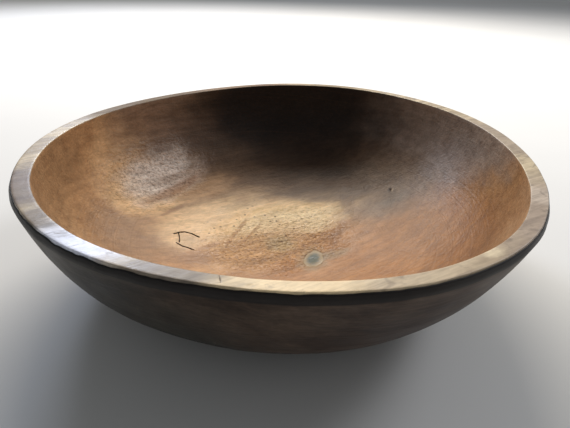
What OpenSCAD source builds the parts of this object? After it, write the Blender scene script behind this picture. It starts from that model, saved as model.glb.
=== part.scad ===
// Shallow wooden bowl, hollowed out of one block, with a flat bare rim, an upright
// collar under it, a dark coat on the outside and one knot in the floor.
// Millimetres, +Z up. The origin is the middle of the foot, on the surface that the
// bowl stands on. The grain, and the long way across the oval, run along X.

/* [Rim] */
// Mean outer diameter across the rim
rim_d = 370; // [260:5:460]
// Share by which the oval is longer along X, and shorter along Y, than the mean
oval = 0.03; // [0:0.01:0.08]
// Width of the flat rim
rim_w = 10; // [8:0.5:14]
// Width of the small bevel that eases both edges of the rim
rim_ease = 0.8; // [0.4:0.1:1.5]
// Height of the upright collar under the rim
collar_h = 4.5; // [3:0.5:8]
// How far the collar leans out towards its lower edge
collar_flare = 1.5; // [0.5:0.5:3]

/* [Body] */
// Height from the foot to the rim
height = 106; // [90:1:125]
// Depth of the hollow at its middle
depth = 92.5; // [78:0.5:95]
// Diameter of the flat foot
foot_d = 186; // [150:2:210]
// Angle that the side leans in by, just under the collar
side_lean = 14; // [8:1:20]
// How upright the outer side stays before it turns in
side_pull = 22; // [10:1:40]
// Angle that the underside rises at, beside the foot
belly_rise = 10; // [6:1:16]
// How wide the underside stays before it turns up
belly_pull = 72; // [55:1:80]

/* [Hollow] */
// How far the inner wall leans in over its upper half
wall_lean = 4; // [0:0.5:8]
// How upright the inner wall stays before it turns into the floor
wall_pull = 40; // [34:1:52]
// How wide the floor stays before it turns up into the wall
floor_pull = 158; // [145:1:160]

/* [Outer coat] */
// Thickness of the dark coat
coat_t = 0.3; // [0.2:0.1:0.6]
// Height above the foot at which the coat is worn away
coat_gap = 1.5; // [1:0.5:4]

/* [Knot] */
// Diameter of the knot where it shows in the floor
knot_d = 20; // [12:1:26]
// Depth that the knot reaches into the block
knot_depth = 9; // [5:0.5:11]
// Place of the knot's middle on the floor
knot_xy = [7, -35]; // [-60:1:60]

/* [Checks] */
// Width of the drying checks, the open cracks where the floor starts to rise
check_w = 0.8; // [0.5:0.1:1.2]
// Depth of the drying checks
check_depth = 3; // [1:0.5:5]
// Rise of the floor from its middle to the checks
check_rise = 6; // [5:0.5:8]

/* [Hidden] */
$fn = 96;

rim_r = rim_d / 2;
foot_r = foot_d / 2;
floor_z = height - depth;
steps = 16;              // straight stretches that each curved outline is drawn with
knot_fit = 0.02;         // the knot grew into the block, so its seam is only a hair
below = 4;               // spare material under the foot, which the flat cut removes

// Outer side: one curve from the collar's lower edge down to the foot
side_top = [rim_r + collar_flare, height - collar_h];
side_bottom = [foot_r, 0];
side = [
    side_top,
    side_top - side_pull * [sin(side_lean), cos(side_lean)],
    side_bottom + belly_pull * [cos(belly_rise), sin(belly_rise)],
    side_bottom
];

// Hollow: one curve from the rim down to the middle of the floor
hollow = [
    [rim_r - rim_w, height],
    [rim_r - rim_w - wall_lean, height - wall_pull],
    [floor_pull, floor_z],
    [0, floor_z]
];

// The checks, as points on the floor: two lie side by side, and a short one joins them
check_upper = [[-85, 43], [-75, 43], [-67, 34]];
check_joint = [[-82, 41], [-85, 30]];
check_lower = [[-88, 31], [-85, 25], [-78, 19]];

function curve_point(c, t) =
    pow(1 - t, 3) * c[0] + 3 * t * pow(1 - t, 2) * c[1]
    + 3 * t * t * (1 - t) * c[2] + pow(t, 3) * c[3];

function curve_direction(c, t) =
    pow(1 - t, 2) * (c[1] - c[0]) + 2 * t * (1 - t) * (c[2] - c[1])
    + t * t * (c[3] - c[2]);

// A point of curve c moved inwards, square to the curve, by distance
function inset_point(c, t, distance) =
    let (along = curve_direction(c, t))
    curve_point(c, t) + distance * [along[1], -along[0]] / norm(along);

function curve(c, distance = 0) =
    [for (i = [0 : steps]) inset_point(c, i / steps, distance)];

// Turns an outline about Z, a quarter at a time, and stretches it into the oval
module oval_turn() {
    for (quarter = [0 : 90 : 270])
        scale([1 + oval, 1 - oval, 1])
            rotate([0, 0, quarter])
                rotate_extrude(angle = 90)
                    children();
}

// The block's outside, less an inset all round, down to below the foot
module block_outline(inset) {
    polygon(concat(
        [[0, -below]],
        [[0, height]],
        [[rim_r - inset - rim_ease, height]],
        [[rim_r - inset, height - rim_ease]],
        curve(side, inset),
        [[foot_r - inset, -below]]
    ));
}

module hollow_outline() {
    polygon(concat(
        [[0, height + below]],
        [[rim_r - rim_w + rim_ease, height + below]],
        [[rim_r - rim_w + rim_ease, height]],
        [[rim_r - rim_w, height - rim_ease]],
        [for (i = [1 : steps]) curve_point(hollow, i / steps)]
    ));
}

// The flat cut that leaves the foot, or the lower edge of the coat, at height z
module cut_below(z) {
    translate([-rim_d, -rim_d, z - 2 * below])
        cube([2 * rim_d, 2 * rim_d, 2 * below]);
}

// The room that the knot takes in the block, wider by play
module knot_room(play) {
    translate([knot_xy[0], knot_xy[1], floor_z - knot_depth - play])
        cylinder(d = knot_d + 2 * play, h = 2 * knot_depth);
}

// One straight stretch of a check, from a to b on the floor
module check_stretch(a, b) {
    along = b - a;
    translate([a[0], a[1], floor_z + check_rise - check_depth])
        rotate([0, 0, atan2(along[1], along[0])])
            translate([-check_w / 2, -check_w / 2, 0])
                cube([norm(along) + check_w, check_w, 4 * check_depth]);
}

module check(points) {
    for (i = [0 : len(points) - 2])
        check_stretch(points[i], points[i + 1]);
}

module bowl_body() {
    color([0.68, 0.50, 0.33])
        difference() {
            oval_turn() block_outline(coat_t);
            oval_turn() hollow_outline();
            cut_below(0);
            knot_room(knot_fit);
            check(check_upper);
            check(check_joint);
            check(check_lower);
        }
}

module outer_coat() {
    color([0.13, 0.11, 0.10])
        difference() {
            oval_turn()
                polygon(concat(
                    [[rim_r - coat_t, height - rim_ease]],
                    [[rim_r, height - rim_ease]],
                    curve(side),
                    [for (i = [steps : -1 : 0]) inset_point(side, i / steps, coat_t)]
                ));
            cut_below(coat_gap);
        }
}

module floor_knot() {
    color([0.45, 0.45, 0.40])
        difference() {
            knot_room(0);
            oval_turn() hollow_outline();
        }
}

bowl_body();
outer_coat();
floor_knot();
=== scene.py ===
import math

import bmesh
import bpy
import numpy as np
from mathutils import Matrix, Vector, noise
from mathutils.bvhtree import BVHTree


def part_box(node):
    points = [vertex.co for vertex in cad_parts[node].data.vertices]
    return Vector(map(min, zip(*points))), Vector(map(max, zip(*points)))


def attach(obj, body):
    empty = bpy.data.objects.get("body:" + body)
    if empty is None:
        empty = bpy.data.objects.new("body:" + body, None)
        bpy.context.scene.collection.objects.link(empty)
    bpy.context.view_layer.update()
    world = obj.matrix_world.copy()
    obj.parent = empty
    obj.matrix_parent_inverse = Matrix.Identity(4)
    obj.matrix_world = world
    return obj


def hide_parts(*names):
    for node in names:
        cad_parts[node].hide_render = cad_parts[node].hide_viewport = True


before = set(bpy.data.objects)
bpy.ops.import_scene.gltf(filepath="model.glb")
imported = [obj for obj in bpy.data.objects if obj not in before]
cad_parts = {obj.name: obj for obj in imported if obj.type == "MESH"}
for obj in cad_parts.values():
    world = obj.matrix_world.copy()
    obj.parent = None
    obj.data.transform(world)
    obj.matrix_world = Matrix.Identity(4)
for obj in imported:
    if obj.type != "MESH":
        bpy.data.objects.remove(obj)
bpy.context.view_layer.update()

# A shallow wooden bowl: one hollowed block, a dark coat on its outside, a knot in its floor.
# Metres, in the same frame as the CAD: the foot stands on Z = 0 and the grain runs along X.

MM = 0.001

# ---------------------------------------------------------------- sizes that the frame gives
coat_low, coat_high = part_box("outer_coat")
block_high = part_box("bowl_body")[1]
knot_low, knot_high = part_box("floor_knot")
HEIGHT = block_high.z
WIDEST = (coat_high.x + coat_high.y) / 2
OVAL = (coat_high.x - coat_high.y) / (coat_high.x + coat_high.y)
COAT = (coat_high.x - block_high.x) / (1 + OVAL)
COAT_FOOT = coat_low.z
KNOT_CENTRE = (knot_low + knot_high) / 2

# ---------------------------------------------------------------- sizes of the outline
COLLAR_H = 4.5 * MM
COLLAR_FLARE = 1.5 * MM
RIM_R = WIDEST - COLLAR_FLARE
RIM_W = 10 * MM
RIM_EASE = 0.8 * MM
DEPTH = 92.5 * MM
FLOOR = HEIGHT - DEPTH
FOOT_R = 93 * MM

SIDE_LEAN = math.radians(14)
SIDE_PULL = 22 * MM
BELLY_RISE = math.radians(10)
BELLY_PULL = 72 * MM
WALL_LEAN = 4 * MM
WALL_PULL = 40 * MM
FLOOR_PULL = 158 * MM
SIDE_TOP = np.array([RIM_R + COLLAR_FLARE, HEIGHT - COLLAR_H])
SIDE_BOTTOM = np.array([FOOT_R, 0.0])
SIDE = [
    SIDE_TOP,
    SIDE_TOP - SIDE_PULL * np.array([math.sin(SIDE_LEAN), math.cos(SIDE_LEAN)]),
    SIDE_BOTTOM + BELLY_PULL * np.array([math.cos(BELLY_RISE), math.sin(BELLY_RISE)]),
    SIDE_BOTTOM,
]
HOLLOW = [
    np.array([RIM_R - RIM_W, HEIGHT]),
    np.array([RIM_R - RIM_W - WALL_LEAN, HEIGHT - WALL_PULL]),
    np.array([FLOOR_PULL, FLOOR]),
    np.array([0.0, FLOOR]),
]

# ---------------------------------------------------------------- how the old bowl is out of true
# Swelling of the oval, as a share of the radius, and where round the bowl it starts
THREE_SIDED = 0.022
FIVE_SIDED = 0.0055
FIVE_START = math.radians(25)
# How much wider and narrower the rim gets round the bowl
RIM_SWELL = 1.5 * MM
RIM_SWELL_START = math.radians(60)
# How far the rim rises and falls round the bowl
RIM_WARP = 1.4 * MM
RIM_WARP_START = math.radians(118)
# How far the foot sits off the middle of the rim
LEAN = Vector((-2.4 * MM, 7.4 * MM))
# How far the hand-worked surface strays, over what length, and how high up it strays in full
SLOW_WANDER = 0.5 * MM
SLOW_LENGTH = 55 * MM
QUICK_WANDER = 0.15 * MM
QUICK_LENGTH = 14 * MM
WANDER_RISE = 10 * MM

# ---------------------------------------------------------------- how finely each skin is drawn
COLUMNS = 360
COAT_COLUMNS = 720
HOLLOW_SPACING = 1.5 * MM
SIDE_SPACING = 3 * MM
COAT_SPACING = 4 * MM

# ---------------------------------------------------------------- marks in the surface
# Lines across the surface, as points in millimetres
CHECK_UPPER = [(-86, 44, 20), (-81, 45.5, 20), (-76, 45.5, 20), (-71, 41.5, 20), (-67, 35, 20)]
CHECK_JOINT = [(-82, 44, 20), (-83.5, 37, 20), (-85.5, 31, 20)]
CHECK_LOWER = [(-88, 30.5, 20), (-85, 25, 20), (-81.5, 22, 20), (-78, 17.5, 20)]
RIM_CRACK = [(-109, -130, 106), (-111, -135, 106), (-112, -139, 106)]
# Line, half the width and the depth in millimetres
GROOVES = [
    (CHECK_UPPER, 0.8, 2.0),
    (CHECK_JOINT, 0.55, 1.2),
    (CHECK_LOWER, 0.75, 1.8),
    (RIM_CRACK, 0.25, 0.4),
]
# Small pits and chips: middle, half the width and the depth in millimetres
PITS = [
    ((126, 11, 32), 1.6, 0.7),
    ((-102, -147, 106), 2.6, 0.5),
    ((168, -45, 106), 2.4, 0.6),
]
# How far below or above its line a mark still cuts the surface
MARK_DROP = 8 * MM
# How far the edges of the marks wander, and over what length
MARK_WOBBLE = 0.25 * MM
MARK_WOBBLE_LENGTH = 2.5 * MM

# How far the pocket reaches under the knot, as a share of the knot, and how far from the
# floor's own height it can lie
POCKET_SHARE = 0.9
POCKET_RANGE = 6 * MM

# ---------------------------------------------------------------- the coat's edge and the knot
# The lengths of long and short chips, how deep they are, and how much deeper at the worn end
CHIP_LONG = 11 * MM
CHIP_SHORT = 5 * MM
CHIP_DEPTH = 0.4 * MM
WORN_DEPTH = 0.9 * MM
WORN_AT = math.radians(-160)

# Half the length and half the width of the knot, how it lies, and the depth of its pocket
KNOT_LONG = 13.5 * MM
KNOT_WIDE = 8 * MM
KNOT_TURN = math.radians(45)
KNOT_POCKET = 1.5 * MM


def curve(c, t):
    """Points of the cubic curve c at t, an array from 0 to 1."""
    t = np.asarray(t)[:, None]
    s = 1 - t
    return s**3 * c[0] + 3 * t * s**2 * c[1] + 3 * t * t * s * c[2] + t**3 * c[3]


def even(points, spacing):
    """An outline resampled so that its points lie about spacing apart."""
    steps = np.linalg.norm(np.diff(points, axis=0), axis=1)
    along = np.concatenate([[0], np.cumsum(steps)])
    count = max(2, int(round(along[-1] / spacing)) + 1)
    wanted = np.linspace(0, along[-1], count)
    return np.stack([np.interp(wanted, along, points[:, i]) for i in (0, 1)], axis=1)


def inset(points, distance):
    """An outline moved inwards, square to itself. It runs downwards on the outside."""
    along = np.gradient(points, axis=0)
    along /= np.linalg.norm(along, axis=1)[:, None]
    return points + distance * np.stack([along[:, 1], -along[:, 0]], axis=1)


def corner(centre, radius, start, end, count):
    """Points along a round corner between two angles in degrees."""
    a = np.radians(np.linspace(start, end, count))
    return centre + radius * np.stack([np.cos(a), np.sin(a)], axis=1)


def swell(angle):
    """How far the rim's radius departs from the even oval, as a factor."""
    three = THREE_SIDED * np.sin(3 * angle)
    five = FIVE_SIDED * np.sin(5 * angle - FIVE_START)
    return 1 + three - five


def place(angle, r, z, inner):
    """The point of the bowl at an angle, a radius and a height. inner is 1 on the hollow, where
    the wall's changing width shows, and 0 on the outside."""
    high = np.clip(z / HEIGHT, 0, 1)
    r = (r - RIM_SWELL * np.cos(2 * angle + RIM_SWELL_START) * inner * high) * swell(angle)
    x = r * (1 + OVAL) * np.cos(angle) + LEAN.x * (1 - high)
    y = r * (1 - OVAL) * np.sin(angle) + LEAN.y * (1 - high)
    z = z + RIM_WARP * np.cos(2 * angle - RIM_WARP_START) * high
    return np.stack(np.broadcast_arrays(x, y, z), axis=-1)


def wander(point):
    """The point where the worked surface really lies, for a point of the true shape."""
    way = (point - Vector((0, 0, HEIGHT))).normalized()
    slow = SLOW_WANDER * noise.noise(point / SLOW_LENGTH)
    quick = QUICK_WANDER * noise.noise(point / QUICK_LENGTH)
    off_foot = min(1, point.z / WANDER_RISE)
    return point + way * (slow + quick) * off_foot


def ring_mesh(name, outline, inner, columns, closed=False):
    """A mesh turned from an outline. A closed outline makes a ring, an open one starts and
    ends in a point on the axis."""
    angle = np.linspace(0, 2 * math.pi, columns, endpoint=False)[None, :]
    grid = place(angle, outline[:, :1], outline[:, 1:], inner[:, None])
    rows = len(outline)
    points = list(grid.reshape(-1, 3))
    faces = []
    for i in range(rows if closed else rows - 1):
        lower, upper = i * columns, (i + 1) % rows * columns
        for j in range(columns):
            k = (j + 1) % columns
            faces.append((lower + j, upper + j, upper + k, lower + k))
    if not closed:
        first, last = len(points), len(points) + 1
        points += [grid[0].mean(axis=0), grid[-1].mean(axis=0)]
        for j in range(columns):
            k = (j + 1) % columns
            faces.append((first, j, k))
            faces.append((last, (rows - 1) * columns + k, (rows - 1) * columns + j))
    mesh = bpy.data.meshes.new(name)
    mesh.from_pydata([wander(Vector(p)) for p in points], [], faces)
    mesh.update()
    return add_piece(name, mesh)


def add_piece(name, mesh):
    """A smooth-shaded object of the mesh, in the scene."""
    for face in mesh.polygons:
        face.use_smooth = True
    piece = bpy.data.objects.new(name, mesh)
    bpy.context.scene.collection.objects.link(piece)
    return piece


def gap_to(line, points):
    """How far each point is from a bent line, seen from above. Points at another height, such
    as those of the underside, count as far away."""
    line = np.array(line) * MM
    gap = np.full(len(points), 1.0)
    for start, end in zip(line[:-1, :2], line[1:, :2]):
        way = end - start
        t = np.clip((points[:, :2] - start) @ way / max(way @ way, 1e-12), 0, 1)
        gap = np.minimum(gap, np.linalg.norm(points[:, :2] - start - t[:, None] * way, axis=1))
    gap[abs(points[:, 2] - line[0, 2]) > MARK_DROP] = 1.0
    return gap


def knot_edge(angle):
    """How far the knot's outline departs from an even ellipse, as a factor."""
    return 1 + 0.06 * np.sin(3 * angle + 1) + 0.04 * np.sin(7 * angle)


def knot_reach(points):
    """Where points lie on the knot, seen from above: 0 in its middle and 1 on its edge."""
    x, y = points[:, 0] - KNOT_CENTRE.x, points[:, 1] - KNOT_CENTRE.y
    along = (x * math.cos(KNOT_TURN) + y * math.sin(KNOT_TURN)) / KNOT_LONG
    across = (y * math.cos(KNOT_TURN) - x * math.sin(KNOT_TURN)) / KNOT_WIDE
    return np.hypot(along, across) / knot_edge(np.arctan2(across, along))


def refine(mesh, marks):
    """Halves the faces along marks, pairs of a bent line and how many times to halve. The strip
    reaches 4 mm from the line at first, and 1 mm less each time."""
    bm = bmesh.new()
    bm.from_mesh(mesh)
    for level in range(max(times for _, times in marks)):
        bm.faces.ensure_lookup_table()
        middles = np.array([face.calc_center_median() for face in bm.faces])
        close = np.zeros(len(middles), bool)
        for line, times in marks:
            if level < times:
                close |= gap_to(line, middles) < (4 - level) * MM
        edges = {edge.index: edge for i in np.flatnonzero(close) for edge in bm.faces[i].edges}
        chosen = [edges[i] for i in sorted(edges)]
        bmesh.ops.subdivide_edges(bm, edges=chosen, cuts=1, use_grid_fill=True)
        bm.edges.index_update()
    bm.to_mesh(mesh)
    bm.free()


def cut_marks(mesh):
    """Sinks the checks, the rim's crack, the pits and the knot's pocket into the block, and
    records in the attribute crack how deep in a check each point is."""
    points = np.array([vertex.co for vertex in mesh.vertices])
    normals = np.array([normal.vector for normal in mesh.vertex_normals])
    sink = np.zeros(len(points))
    crack = np.zeros(len(points))
    wobble = np.array([noise.noise(Vector(p) / MARK_WOBBLE_LENGTH) for p in points]) * MARK_WOBBLE
    for line, half_width, depth in GROOVES:
        gap = gap_to(line, points) + wobble
        shape = np.clip(1 - gap / (half_width * MM), 0, 1)
        sink = np.maximum(sink, depth * MM * shape)
        crack = np.maximum(crack, np.clip(1.3 - gap / (half_width * MM), 0, 1))
    for middle, half_width, depth in PITS:
        gap = np.linalg.norm(points - np.array(middle) * MM, axis=1) + 2 * wobble
        sink = np.maximum(sink, depth * MM * np.clip(1 - gap / (half_width * MM), 0, 1))
    near_floor = abs(points[:, 2] - FLOOR) < POCKET_RANGE
    in_pocket = (knot_reach(points) < POCKET_SHARE) & near_floor
    sink[in_pocket] = KNOT_POCKET
    mesh.vertices.foreach_set("co", (points - normals * sink[:, None]).ravel())
    mesh.attributes.new("crack", "FLOAT", "POINT").data.foreach_set("value", crack)


def hollow_outline():
    """From just beside the middle of the floor up to just under the rim."""
    return even(curve(HOLLOW, np.linspace(1, 0, 400)), HOLLOW_SPACING)[1:-1]


def rim_outline():
    """Round inner edge, flat top, round outer edge, and how much of each point's place follows
    the hollow."""
    on_edge, across = 5, 9
    inner = corner([RIM_R - RIM_W + RIM_EASE, HEIGHT - RIM_EASE], RIM_EASE, 165, 90, on_edge)
    outer = corner([RIM_R - COAT - RIM_EASE, HEIGHT - RIM_EASE], RIM_EASE, 90, 0, on_edge)
    flat = np.linspace(inner[-1], outer[0], across)[1:-1]
    fading = np.linspace(1, 0, across)[1:-1]
    follows = np.concatenate([np.ones(on_edge), fading, np.zeros(on_edge)])
    return np.concatenate([inner, flat, outer]), follows


def side_outline(spacing, depth):
    """Collar and side, down to the foot, inset by depth."""
    collar = np.linspace([RIM_R, HEIGHT - RIM_EASE], SIDE_TOP, 4)[1:-1]
    collar[:, 0] -= depth
    side = even(curve(SIDE, np.linspace(0, 1, 200)), spacing)
    return np.concatenate([collar, inset(side, depth)])


def foot_outline():
    """The flat foot, from its edge to just beside its middle."""
    out = np.linspace(FOOT_R - 1.2 * MM, 0, 12)[:-1]
    return np.stack([out, np.zeros(len(out))], axis=1)


def make_block():
    """The block, drawn more finely along the checks and round the pits."""
    hollow = hollow_outline()
    rim, follows = rim_outline()
    side = side_outline(SIDE_SPACING, COAT)
    foot = foot_outline()
    outline = np.concatenate([hollow, rim, side, foot])
    inner = np.concatenate([np.ones(len(hollow)), follows, np.zeros(len(side) + len(foot))])
    block = ring_mesh("carved_block", outline, inner, COLUMNS)
    marks = [(groove[0], 3) for groove in GROOVES]
    marks += [([pit[0], pit[0]], 2) for pit in PITS]
    refine(block.data, marks)
    return block


def paint_block(block):
    """Gives each part of the block the wood that shows there."""
    for material in (hollow_wood(), rim_wood(), foot_wood()):
        block.data.materials.append(material)
    rim_slot, foot_slot = 1, 2
    rim_depth = 3 * MM
    for face in block.data.polygons:
        x, y, z = face.center
        faces_out = face.normal.dot(Vector((x, y, -math.hypot(x, y)))) > 0
        on_rim = face.normal.z > 0.5 and z > HEIGHT - rim_depth
        if on_rim or (faces_out and z > HEIGHT / 2):
            face.material_index = rim_slot
        elif faces_out:
            face.material_index = foot_slot


def make_coat():
    """The film on the outside. Its upper edge is chipped, most of all towards one end."""
    outer = side_outline(COAT_SPACING, 0)
    outer = np.concatenate([[[RIM_R, HEIGHT - RIM_EASE]], outer[outer[:, 1] > COAT_FOOT]])
    play = 0.02 * MM
    outline = np.concatenate([outer, inset(outer, COAT - play)[::-1]])
    coat = ring_mesh("dark_coat", outline, np.zeros(len(outline)), COAT_COLUMNS, closed=True)
    for vertex in coat.data.vertices:
        angle = math.atan2(vertex.co.y, vertex.co.x)
        ragged = noise.noise(vertex.co / CHIP_LONG) + 0.5 * noise.noise(vertex.co / CHIP_SHORT)
        worn_end = max(0, math.cos(angle - WORN_AT)) ** 8
        chip = max(0, 0.2 + ragged) * (CHIP_DEPTH + WORN_DEPTH * worn_end)
        on_collar = (vertex.co.z - HEIGHT + COLLAR_H) / (COLLAR_H - RIM_EASE)
        chip *= min(1, max(0, on_collar))
        flare = chip * COLLAR_FLARE / (COLLAR_H - RIM_EASE)
        vertex.co += Vector((flare * math.cos(angle), flare * math.sin(angle), -chip))
    coat.data.materials.append(coat_paint())
    return coat


def make_knot(block):
    """A lens that fills the knot's pocket: its top follows the floor and stands a little proud."""
    rings, spokes = 28, 112
    skin = BVHTree.FromPolygons(
        [vertex.co for vertex in block.data.vertices],
        [face.vertices for face in block.data.polygons],
    )

    def on_floor(share, angle, rise):
        """The point a share of the way out from the knot's middle, and rise above the floor."""
        reach = share * knot_edge(angle)
        along = KNOT_LONG * reach * math.cos(angle)
        across = KNOT_WIDE * reach * math.sin(angle)
        x = KNOT_CENTRE.x + along * math.cos(KNOT_TURN) - across * math.sin(KNOT_TURN)
        y = KNOT_CENTRE.y + along * math.sin(KNOT_TURN) + across * math.cos(KNOT_TURN)
        floor_point = skin.ray_cast(Vector((x, y, HEIGHT)), Vector((0, 0, -1)))[0]
        return floor_point + Vector((0, 0, rise))

    def crown(share, angle):
        """The knot's low dome, with a few ridges where its end grain has shrunk."""
        waves = math.sin(5 * math.pi * share + 2 * math.sin(2 * angle))
        ridges = waves * max(0, math.sin(angle - 0.4))
        return (0.1 * (1 - share**2) - 0.14 * share**6 + 0.07 * ridges * (1 - share)) * MM

    turns = [2 * math.pi * j / spokes for j in range(spokes)]
    points = [on_floor(0, 0, crown(0, 0))]
    for i in range(1, rings + 1):
        points += [on_floor(i / rings, angle, crown(i / rings, angle)) for angle in turns]
    underside, narrowed = -0.8 * KNOT_POCKET, 0.86
    points += [on_floor(narrowed, angle, underside) for angle in turns]
    points.append(on_floor(0, 0, underside))
    faces = []
    for j in range(spokes):
        k = (j + 1) % spokes
        faces.append((0, 1 + j, 1 + k))
        for i in range(rings):
            inner, outer = 1 + i * spokes, 1 + (i + 1) * spokes
            faces.append((inner + j, outer + j, outer + k, inner + k))
        faces.append((len(points) - 1, 1 + rings * spokes + k, 1 + rings * spokes + j))
    mesh = bpy.data.meshes.new("knot")
    mesh.from_pydata(points, [], faces)
    mesh.update()
    mesh.materials.append(knot_wood())
    return add_piece("knot", mesh)


# ---------------------------------------------------------------- materials
def srgb(red, green, blue):
    """A colour as a painter's 0 to 255 numbers, turned into what the shaders need."""
    parts = [channel / 255 for channel in (red, green, blue)]
    linear = [c / 12.92 if c <= 0.04045 else ((c + 0.055) / 1.055) ** 2.4 for c in parts]
    return (*linear, 1.0)


class Look:
    """A material made of nodes. Its patterns are laid out in millimetres in the bowl's frame."""

    def __init__(self, name):
        self.material = bpy.data.materials.new(name)
        self.material.use_nodes = True
        self.nodes = self.material.node_tree.nodes
        self.shader = self.nodes["Principled BSDF"]
        coordinates = self.nodes.new("ShaderNodeTexCoord").outputs["Object"]
        scale = self.add("VectorMath", {0: coordinates, 3: 1 / MM}, operation="SCALE")
        self.here = scale.outputs[0]

    def add(self, kind, inputs, **settings):
        """A node with its settings, and with its inputs fed by numbers or by other nodes."""
        node = self.nodes.new("ShaderNode" + kind)
        for name, value in settings.items():
            setattr(node, name, value)
        for key, value in inputs.items():
            self.feed(node.inputs[key], value)
        return node

    def feed(self, socket, value):
        """Gives a socket a number or a colour, or links another node to it."""
        if isinstance(value, bpy.types.NodeSocket):
            self.material.node_tree.links.new(value, socket)
        else:
            socket.default_value = value

    def maths(self, operation, a, b=0.0, c=0.0):
        """One sum with up to three numbers."""
        return self.add("Math", {0: a, 1: b, 2: c}, operation=operation).outputs[0]

    def length(self, vector):
        """How far a place is from the middle that it was measured from."""
        return self.add("VectorMath", {0: vector}, operation="LENGTH").outputs["Value"]

    def set(self, name, value):
        """Sets a value of the shader that is the same all over the surface."""
        self.shader.inputs[name].default_value = value

    def blend(self, share, a, b, how="MIX"):
        """Colour a, with a share of colour b over it."""
        inputs = {0: share, 6: a, 7: b}
        return self.add("Mix", inputs, data_type="RGBA", blend_type=how).outputs[2]

    def step(self, value, low, high, top=1.0):
        """0 where value is below low, top where it is above high, and a soft step between."""
        inputs = {"Value": value, "From Min": low, "From Max": high, "To Max": top}
        return self.add("MapRange", inputs, interpolation_type="SMOOTHSTEP").outputs[0]

    def seen_from(self, centre, size, turn=0.0):
        """The place measured from a centre, in sizes along three axes turned about Z."""
        turned = (0, 0, math.radians(turn))
        inputs = {"Vector": self.here, "Location": centre, "Rotation": turned, "Scale": size}
        return self.add("Mapping", inputs, vector_type="TEXTURE").outputs[0]

    def noise(self, size, detail=3.0, turn=0.0, twist=0.0, start=(0, 0, 0)):
        """Cloudy noise around 0.5, with clouds about size across along three axes."""
        place = self.seen_from(start, size, turn)
        inputs = {"Vector": place, "Scale": 1.0, "Detail": detail, "Distortion": twist}
        return self.add("TexNoise", inputs).outputs[0]

    def patch(self, centre, size, turn=0.0):
        """1 in a patch round a point, fading out across a ragged edge."""
        soft, ragged, finest = 0.5, 0.5, 2.0
        reach = self.length(self.seen_from(centre, size, turn))
        clouds = tuple(max(side * 0.6, finest) for side in size)
        uneven = self.noise(clouds, start=centre, turn=turn)
        stray = self.maths("MULTIPLY_ADD", uneven, 2 * ragged, -ragged)
        return self.step(self.maths("ADD", reach, stray), 1 + soft, 1 - soft)

    def cells(self, size):
        """A scatter of cells about size across: the distance to each one's middle, and a number
        from 0 to 1 of its own."""
        place = self.seen_from((0, 0, 0), (size, size, size))
        node = self.add("TexVoronoi", {"Vector": place, "Scale": 1.0})
        own = self.add("SeparateColor", {0: node.outputs["Color"]}).outputs[0]
        return node.outputs["Distance"], own

    def stripes(self, along):
        """Uneven stripes that cross a rising number."""
        inputs = {"W": along, "Scale": 1.0, "Detail": 2.0}
        return self.add("TexNoise", inputs, noise_dimensions="1D").outputs[0]

    def bump(self, height, depth, below=None):
        """Relief of the given depth in millimetres, on top of another relief."""
        inputs = {"Height": height, "Distance": depth * MM}
        if below is not None:
            inputs["Normal"] = below
        return self.add("Bump", inputs).outputs[0]


# The middle of the knot, in millimetres
KNOT_MIDDLE = (6.5, -35, 14)

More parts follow.
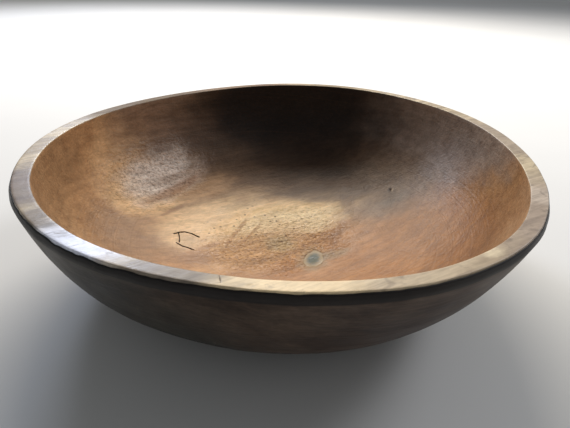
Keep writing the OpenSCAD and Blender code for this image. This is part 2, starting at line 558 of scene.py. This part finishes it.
# Stains, worn places, painted shade and painted highlights in the hollow, laid over each other
# in this order. Each has its middle and its reach along, across and up, in millimetres, its turn
# about Z in degrees, its colour and its strength.
HOLLOW_STAINS_AND_PAINTED_LIGHT = [
    # warm near side
    ((-20, -70, 25), (160, 75, 50), 0, srgb(168, 118, 72), 0.9),
    ((-98, 8, 30), (45, 48, 34), 0, srgb(162, 118, 76), 0.75),
    # golden left wall, and olive under its rim
    ((-125, 70, 75), (60, 75, 60), 50, srgb(192, 146, 100), 0.8),
    ((-165, 40, 85), (26, 84, 32), 0, srgb(132, 102, 72), 0.65),
    # smoky far side, partly painted shade, and the golden band beside it
    ((75, 120, 50), (175, 85, 65), -30, srgb(112, 88, 68), 0.9),
    ((-106, 120, 66), (26, 40, 34), -10, srgb(228, 184, 134), 0.85),
    # brown near-left side, and the pale foot of the left wall
    ((-128, 44, 36), (32, 42, 26), 0, srgb(136, 100, 66), 0.75),
    ((-94, 100, 36), (36, 26, 26), 28, srgb(242, 200, 148), 0.85),
    # smoky left of the dark wall, partly painted shade, and the palest place, a painted sheen
    # where it shines
    ((-58, 152, 88), (60, 32, 38), 12, srgb(130, 110, 96), 0.65),
    ((-73, 120, 42), (40, 24, 26), 25, srgb(255, 238, 222), 0.9),
    # smoky grey right side, partly a painted sheen, the wall above it, its palest part, a painted
    # sheen, and a patch below it
    ((145, 5, 50), (75, 65, 50), 0, srgb(150, 130, 110), 0.8),
    ((165, 52, 84), (42, 62, 30), -20, srgb(164, 152, 144), 0.75),
    ((160, -28, 70), (34, 36, 22), 0, srgb(172, 162, 158), 0.6),
    ((113, -11, 28), (22, 16, 14), 0, srgb(122, 110, 96), 0.6),
    # orange right wall, brown near wall and the tan floor between them
    ((128, -88, 62), (75, 48, 60), -45, srgb(156, 116, 76), 0.85),
    ((75, -125, 52), (70, 26, 32), 20, srgb(134, 92, 56), 0.7),
    ((88, -66, 34), (66, 50, 34), 0, srgb(156, 104, 52), 0.78),
    # grey under the right rim
    ((170, -34, 98), (36, 82, 24), 0, srgb(148, 136, 126), 0.8),
    # polished pale floor, partly its own colour and partly a painted highlight, with its brighter
    # and duller places
    ((6, 46, 15), (84, 28, 30), -12, srgb(246, 208, 154), 0.95),
    ((-58, 52, 18), (42, 28, 20), 20, srgb(238, 200, 152), 0.85),
    ((-2, 80, 20), (34, 16, 14), -10, srgb(196, 162, 120), 0.6),
    ((22, 26, 14), (46, 20, 20), -14, srgb(255, 228, 182), 1.0),
    ((-38, 102, 28), (34, 13, 14), 20, srgb(196, 156, 114), 0.7),
    ((-25, 0, 14), (60, 26, 20), 8, srgb(200, 156, 108), 0.7),
    # dark strokes of the gouge
    ((-65, 107, 33), (40, 5, 16), 28, srgb(170, 122, 82), 0.7),
    ((-74, 80, 25), (17, 2.5, 12), 28, srgb(156, 114, 78), 0.7),
    ((-57, 122, 42), (30, 4, 12), 20, srgb(150, 110, 78), 0.5),
    ((-30, 35, 15), (24, 2, 12), 43, srgb(168, 122, 82), 0.55),
    ((-20, 26, 15), (20, 1.6, 12), 38, srgb(168, 122, 82), 0.5),
    ((46, -14, 16), (26, 4, 12), 40, srgb(150, 108, 72), 0.6),
    ((-64, 19, 17), (12, 3.5, 12), 18, srgb(150, 108, 72), 0.6),
    # a crease in the grain
    ((84, 22, 22), (7, 20, 14), -25, srgb(140, 112, 84), 0.6),
    # soot and painted shade on the far wall, and where both thin out over the floor
    ((148, 90, 98), (46, 42, 30), -50, srgb(64, 57, 52), 0.6),
    ((84, 150, 84), (128, 66, 66), -30, srgb(30, 25, 23), 0.98),
    ((86, 104, 38), (60, 34, 26), -30, srgb(58, 44, 33), 0.75),
    ((72, 56, 22), (54, 17, 18), -30, srgb(90, 64, 42), 0.8),
    # greenish middle of the floor
    ((-6, -1, 14), (13, 12, 10), 0, srgb(160, 142, 106), 0.6),
    # grey halo of the knot, and its tail
    (KNOT_MIDDLE, (18, 11, 10), 45, srgb(150, 136, 106), 0.6),
    ((26, -38, 14), (15, 6, 10), -8, srgb(146, 130, 104), 0.6),
    # grey wood between the checks, and a brown smudge beside them
    ((-79, 31, 19), (9, 11, 10), -20, srgb(188, 158, 122), 0.6),
    ((-81, 5, 17), (17, 9, 12), -10, srgb(140, 100, 66), 0.6),
    # shade and bare wood of a nick
    ((125, 12, 32), (3.6, 1.6, 3), 40, srgb(62, 44, 32), 0.8),
    ((127, 10, 32), (2.4, 0.9, 3), 40, srgb(226, 200, 168), 0.7),
]

# Stains on the rim, and its painted sheen, in the same form
RIM_STAINS_AND_PAINTED_SHEEN = [
    # cream near side, and duller to the right of it
    ((-84, -158, 106), (36, 20, 20), -28, srgb(238, 212, 168), 0.85),
    ((-10, -178, 106), (60, 16, 20), 0, srgb(184, 164, 138), 0.6),
    # weathered right end
    ((78, -158, 106), (56, 26, 20), 25, srgb(158, 140, 128), 0.7),
    ((170, -60, 106), (34, 60, 20), 20, srgb(168, 152, 138), 0.6),
    # polished near-left stretch with a bluish painted sheen, and a dark place beside it
    ((-167, -76, 106), (26, 17, 20), -60, srgb(226, 232, 250), 0.85),
    ((-131, -121, 106), (22, 13, 20), -45, srgb(108, 98, 92), 0.75),
    # grey-brown blotches
    ((-184, 8, 106), (18, 32, 20), 0, srgb(120, 108, 104), 0.8),
    ((-179, -37, 106), (10, 8, 20), 0, srgb(106, 96, 90), 0.7),
    ((-176, -50, 106), (9, 4, 20), -30, srgb(100, 88, 80), 0.7),
    ((-104, -146, 106), (6, 3, 20), -30, srgb(104, 94, 88), 0.3),
    # pale scars
    ((16, -177, 106), (6, 3, 20), 0, srgb(232, 214, 180), 0.7),
    ((98, -146, 106), (14, 12, 20), -55, srgb(204, 188, 170), 0.7),
    # smoked far side
    ((-60, 168, 106), (80, 26, 20), 20, srgb(92, 72, 58), 0.8),
    ((44, 176, 106), (66, 24, 20), -12, srgb(120, 90, 70), 0.8),
    ((140, 112, 106), (46, 30, 20), -50, srgb(134, 116, 88), 0.7),
]


def with_stains_and_painted_light(look, colour, stains):
    """A colour with each of its stains and patches of painted light laid over it in turn."""
    for middle, size, turn, tint, strength in stains:
        share = look.maths("MULTIPLY", look.patch(middle, size, turn), strength)
        colour = look.blend(share, colour, tint)
    return colour


def grained(look, colour, depth):
    """A colour crossed by wood fibres and by broad growth rings, both running along X."""
    fibres = look.noise((45, 1.6, 1.6), detail=4)
    streaks = look.noise((70, 7, 7), detail=3, twist=0.2)
    from_pith = look.length(look.seen_from((0, 35, -120), (500, 1, 1), 2))
    strayed = look.maths("ADD", from_pith, look.maths("MULTIPLY", look.noise((60, 18, 18)), 14))
    rings = look.stripes(look.maths("DIVIDE", strayed, 4.5))
    specks = look.noise((4, 2, 2), detail=3)
    for pattern, share in ((fibres, 1.0), (streaks, 1.2), (rings, 0.8), (specks, 0.7)):
        inputs = {"Value": pattern, "From Min": 0.36, "From Max": 0.64}
        inputs.update({"To Min": 1 - depth * share, "To Max": 1 + depth * share})
        tone = look.add("MapRange", inputs).outputs[0]
        colour = look.blend(1.0, colour, tone, "MULTIPLY")
    return colour


def crack_share(look):
    """1 in the depth of a check, 0 on sound wood."""
    return look.add("Attribute", {}, attribute_name="crack").outputs["Fac"]


def turning_marks(look, spacing):
    """Fine rings round the bowl, left by the tool, about spacing apart."""
    flat = 1e6
    out = look.length(look.seen_from((0, 0, 0), (1, 1, flat)))
    height = look.add("SeparateXYZ", {0: look.here}).outputs["Z"]
    return look.stripes(look.maths("DIVIDE", look.maths("ADD", out, height), spacing))


def crinkles(look):
    """The wrinkled skin of the floor and the left wall, and how strong it is in each place."""
    on_floor = look.patch((0, 5, 14), (62, 40, 30))
    on_wall = look.patch((-78, 118, 45), (50, 30, 30), 25)
    strength = look.maths("MULTIPLY_ADD", look.maths("MAXIMUM", on_floor, on_wall), 0.85, 0.15)
    return look.noise((3.6, 2.6, 2.6), detail=2, twist=0.5), strength


def floor_pits(look):
    """The share of a pit's dark colour: small pits, in some cells of the floor only."""
    distance, own = look.cells(6)
    pits = look.maths("MULTIPLY", look.step(distance, 0.26, 0.12), look.step(own, 0.4, 0.42))
    pits = look.maths("MULTIPLY", pits, look.patch((-5, 28, 14), (60, 38, 20), -10))
    return look.maths("MULTIPLY", pits, 0.8)


def hollow_colour(look, marks, peel, peeled):
    """Stained, grainy wood with painted shade and highlights among its stains, darker along
    the tool's marks, in the checks, and in the wrinkles' creases, from dirt and painted shade.
    """
    clouds = look.noise((70, 34, 34), detail=5, twist=0.3)
    base = look.blend(look.step(clouds, 0.3, 0.7), srgb(164, 126, 90), srgb(188, 152, 114))
    colour = grained(look, with_stains_and_painted_light(look, base, HOLLOW_STAINS_AND_PAINTED_LIGHT), 0.075)
    mottle = look.step(look.noise((9, 5, 5), detail=5, twist=0.3), 0.55, 0.75, 0.25)
    colour = look.blend(mottle, colour, srgb(120, 88, 60), "MULTIPLY")
    drift = look.step(look.noise((24, 11, 11), detail=4, twist=0.4), 0.44, 0.68, 0.2)
    colour = look.blend(drift, colour, srgb(150, 116, 88), "MULTIPLY")
    colour = look.blend(look.step(marks, 0.6, 0.8, 0.16), colour, srgb(90, 66, 46))
    colour = look.blend(floor_pits(look), colour, srgb(80, 46, 26))
    # dirt and painted shade in the creases of the wrinkles
    creases = look.step(peel, 0.48, 0.36)
    creases = look.maths("MULTIPLY", creases, look.maths("MULTIPLY", peeled, 0.34))
    colour = look.blend(creases, colour, srgb(96, 68, 46))
    return look.blend(look.step(crack_share(look), 0.05, 0.5), colour, srgb(34, 19, 11))


def hollow_roughness(look):
    """Satin wood, duller in the soot and glossier on the rubbed floor."""
    soot = look.patch((92, 155, 92), (130, 80, 80), -30)
    polish = look.patch((10, 25, 15), (90, 50, 40), -10)
    rough = look.maths("MULTIPLY_ADD", look.noise((18, 10, 10), detail=4), 0.16, 0.34)
    rough = look.maths("ADD", rough, look.maths("MULTIPLY", soot, 0.14))
    return look.maths("SUBTRACT", rough, look.maths("MULTIPLY", polish, 0.14))


def hollow_wood():
    """The oiled, smoky wood of the hollow, with painted shade, painted sheen and a painted
    highlight in its colour.
    """
    look = Look("hollow_wood")
    marks = turning_marks(look, 2.2)
    peel, peeled = crinkles(look)
    look.feed(look.shader.inputs["Base Color"], hollow_colour(look, marks, peel, peeled))
    look.set("Specular IOR Level", 0.22)
    look.feed(look.shader.inputs["Roughness"], hollow_roughness(look))
    relief = look.bump(look.maths("MULTIPLY", peel, peeled), 3.0)
    relief = look.bump(marks, 0.12, relief)
    relief = look.bump(look.noise((26, 1.1, 1.1), detail=3), 0.14, relief)
    relief = look.bump(look.noise((30, 22, 22), detail=1), 0.3, relief)
    look.feed(look.shader.inputs["Normal"], relief)
    return look.material


def rim_wood():
    """Bare wood with stains, grime and fine lines, polished by hands on its near-left side, where
    it has a painted bluish sheen, and dull on its far side."""
    look = Look("rim_wood")
    clouds = look.noise((34, 9, 9), detail=4, twist=0.8)
    base = look.blend(look.step(clouds, 0.35, 0.65), srgb(166, 148, 122), srgb(206, 188, 156))
    colour = grained(look, with_stains_and_painted_light(look, base, RIM_STAINS_AND_PAINTED_SHEEN), 0.075)
    lines = look.step(look.noise((40, 1.1, 1.1), detail=4, twist=0.2), 0.56, 0.74, 0.28)
    colour = look.blend(lines, colour, srgb(112, 96, 84))
    grime = look.step(look.noise((12, 7, 7), detail=5, twist=1.2), 0.56, 0.72, 0.5)
    colour = look.blend(grime, colour, srgb(118, 104, 94))
    colour = look.blend(look.step(crack_share(look), 0.1, 0.8, 0.6), colour, srgb(84, 66, 54))
    look.feed(look.shader.inputs["Base Color"], colour)
    look.set("Specular IOR Level", 0.24)
    polish = look.patch((-158, -88, 106), (46, 26, 20), -45)
    dull = look.patch((20, 170, 106), (210, 70, 20), -10)
    rough = look.maths("MULTIPLY_ADD", look.noise((14, 8, 8), detail=4), 0.24, 0.28)
    rough = look.maths("ADD", rough, look.maths("MULTIPLY", dull, 0.4))
    rough = look.maths("SUBTRACT", rough, look.maths("MULTIPLY", polish, 0.08))
    look.feed(look.shader.inputs["Roughness"], rough)
    relief = look.bump(look.noise((30, 0.8, 0.8), detail=3), 0.06)
    relief = look.bump(look.noise((9, 5, 5), detail=3), 0.25, relief)
    look.feed(look.shader.inputs["Normal"], relief)
    return look.material


def foot_wood():
    """Bare wood of the foot, darkened by handling and scuffed where it stands."""
    look = Look("foot_wood")
    clouds = look.noise((60, 22, 22), detail=4, twist=0.8)
    base = look.blend(look.step(clouds, 0.35, 0.65), srgb(112, 84, 60), srgb(150, 118, 88))
    colour = grained(look, base, 0.12)
    scuffs = look.step(look.noise((16, 3, 3), detail=5, twist=1.5), 0.58, 0.7, 0.5)
    colour = look.blend(scuffs, colour, srgb(178, 152, 122))
    marks = turning_marks(look, 2.6)
    colour = look.blend(look.step(marks, 0.6, 0.8, 0.3), colour, srgb(70, 52, 38))
    look.feed(look.shader.inputs["Base Color"], colour)
    look.feed(look.shader.inputs["Roughness"], look.step(clouds, 0.2, 0.8, 0.75))
    relief = look.bump(marks, 0.12)
    relief = look.bump(look.noise((30, 0.9, 0.9), detail=3), 0.08, relief)
    look.feed(look.shader.inputs["Normal"], relief)
    return look.material


def coat_paint():
    """Black-brown paint gone dull: near black on the collar, browner below it, with painted
    reflections that make it darker and greener on the left and greyer on the right, rubbed and
    specked all over."""
    look = Look("coat_paint")
    clouds = look.noise((55, 30, 30), detail=4, twist=1.0)
    base = look.blend(look.step(clouds, 0.35, 0.65), srgb(63, 48, 38), srgb(84, 68, 56))
    # painted reflection: darker and greener on the left
    left = look.patch((-150, -60, 60), (70, 90, 60))
    colour = look.blend(look.maths("MULTIPLY", left, 0.7), base, srgb(46, 48, 42))
    # painted reflection: greyer on the right
    right = look.patch((140, -110, 62), (84, 74, 60))
    colour = look.blend(look.maths("MULTIPLY", right, 0.7), colour, srgb(160, 156, 140))
    colour = grained(look, colour, 0.12)
    height = look.add("SeparateXYZ", {0: look.here}).outputs["Z"]
    rise = look.maths("ADD", height, look.maths("MULTIPLY", look.noise((20, 20, 20)), 1.2))
    collar_foot = (HEIGHT - COLLAR_H) / MM
    collar = look.step(rise, collar_foot - 0.9, collar_foot + 0.3)
    colour = look.blend(look.maths("MULTIPLY", collar, 0.85), colour, srgb(18, 16, 17))
    rubbed = look.step(look.noise((14, 5, 5), detail=6, twist=1.0), 0.66, 0.78, 0.35)
    colour = look.blend(rubbed, colour, srgb(104, 86, 68))
    specks = look.step(look.cells(16)[0], 0.055, 0.03, 0.7)
    colour = look.blend(specks, colour, srgb(150, 140, 126))
    look.feed(look.shader.inputs["Base Color"], colour)
    look.set("Specular IOR Level", 0.28)
    rough = look.maths("MULTIPLY_ADD", look.noise((20, 12, 12), detail=4), 0.25, 0.36)
    look.feed(look.shader.inputs["Roughness"], rough)
    relief = look.bump(turning_marks(look, 3.0), 0.1)
    relief = look.bump(look.noise((24, 2, 2), detail=4), 0.08, relief)
    look.feed(look.shader.inputs["Normal"], relief)
    return look.material


def knot_wood():
    """Grey-green end grain that fades into brown towards its edge, with fine crinkles."""
    look = Look("knot_wood")
    clouds = look.noise((6, 4, 4), detail=4, twist=1.0)
    base = look.blend(look.step(clouds, 0.35, 0.65), srgb(66, 71, 60), srgb(94, 96, 80))
    size = (KNOT_LONG / MM, KNOT_WIDE / MM, 20)
    reach = look.length(look.seen_from(KNOT_MIDDLE, size, math.degrees(KNOT_TURN)))
    edge = look.maths("ADD", reach, look.maths("MULTIPLY", clouds, 0.5))
    colour = look.blend(look.step(edge, 0.6, 1.15), base, srgb(158, 136, 104))
    look.feed(look.shader.inputs["Base Color"], colour)
    look.set("Specular IOR Level", 0.3)
    look.feed(look.shader.inputs["Roughness"], look.maths("ADD", clouds, 0.05))
    relief = look.bump(look.noise((2.4, 1.2, 1.2), detail=3, turn=45, twist=0.6), 0.25)
    look.feed(look.shader.inputs["Normal"], relief)
    return look.material


def pale_floor():
    """A matt, nearly white studio floor."""
    look = Look("pale_floor")
    clouds = look.noise((300, 300, 300), detail=3)
    colour = look.blend(clouds, srgb(222, 220, 216), srgb(230, 229, 226))
    look.feed(look.shader.inputs["Base Color"], colour)
    look.set("Roughness", 0.9)
    return look.material


# ---------------------------------------------------------------- the bowl
block = make_block()
knot = make_knot(block)
cut_marks(block.data)
paint_block(block)
coat = make_coat()

for piece, node, slot in (
    (block, "bowl_body", "bare_wood"),
    (coat, "outer_coat", "dark_coat"),
    (knot, "floor_knot", "knot_wood"),
):
    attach(piece, "root")
    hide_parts(node)


# ---------------------------------------------------------------- stage, light and camera
def make_floor():
    """A square of studio floor under the bowl."""
    reach = 8.0
    corners = [(-reach, -reach, 0), (reach, -reach, 0), (reach, reach, 0), (-reach, reach, 0)]
    mesh = bpy.data.meshes.new("floor")
    mesh.from_pydata(corners, [], [(0, 1, 2, 3)])
    mesh.materials.append(pale_floor())
    floor = bpy.data.objects.new("floor", mesh)
    bpy.context.scene.collection.objects.link(floor)
    return floor


def light_world():
    """Dim, even light from all round, slightly cool."""
    world = bpy.data.worlds.new("studio")
    world.use_nodes = True
    background = world.node_tree.nodes["Background"]
    background.inputs["Color"].default_value = (0.92, 0.96, 1.0, 1)
    background.inputs["Strength"].default_value = 0.22
    bpy.context.scene.world = world


# Where the viewer stands, what the camera aims at, how it is tilted and its lens in millimetres
VIEW_AZIMUTH = math.radians(-30)
VIEW_HEIGHT = math.radians(20.6)
VIEW_DISTANCE = 350 * MM
AIM = Vector((-57.1 * MM, -97.1 * MM, HEIGHT))
ROLL = math.radians(1.7)
LENS = 28.1


def from_view(side, ahead, up):
    """A point given as the viewer sees it: to their right, away from them, and up."""
    return Matrix.Rotation(VIEW_AZIMUTH, 3, "Z") @ Vector((side, ahead, up))


def area_light(name, at, size, power, colour):
    """A soft rectangular light that faces the middle of the bowl."""
    data = bpy.data.lights.new(name, "AREA")
    data.shape = "RECTANGLE"
    data.size, data.size_y = size
    data.energy = power
    data.color = colour
    lamp = bpy.data.objects.new(name, data)
    lamp.location = at
    lamp.rotation_euler = (Vector((0, 0, HEIGHT / 2)) - at).to_track_quat("-Z", "Y").to_euler()
    bpy.context.scene.collection.objects.link(lamp)


def place_camera():
    """The camera, at the photo's viewing angle."""
    camera = bpy.data.objects.new("camera", bpy.data.cameras.new("camera"))
    camera.data.lens = LENS
    camera.data.sensor_width = 36
    camera.data.clip_start = 0.01
    behind = VIEW_DISTANCE * math.cos(VIEW_HEIGHT)
    above = VIEW_DISTANCE * math.sin(VIEW_HEIGHT)
    camera.location = from_view(0, -behind, HEIGHT + above)
    aimed = (AIM - camera.location).to_track_quat("-Z", "Y")
    camera.rotation_mode = "QUATERNION"
    camera.rotation_quaternion = aimed @ Matrix.Rotation(ROLL, 3, "Z").to_quaternion()
    bpy.context.scene.collection.objects.link(camera)
    bpy.context.scene.camera = camera


floor = make_floor()
light_world()
area_light("window", from_view(-0.05, 1.6, 1.4), (1.3, 1.0), 40, (1.0, 0.94, 0.85))
area_light("sky", from_view(-0.95, 1.75, 1.25), (0.5, 0.5), 18, (0.74, 0.82, 1.0))
area_light("side_window", from_view(1.75, 0.9, 1.55), (0.8, 0.8), 20, (0.92, 0.94, 1.0))
place_camera()
bpy.context.scene.view_settings.view_transform = "Standard"
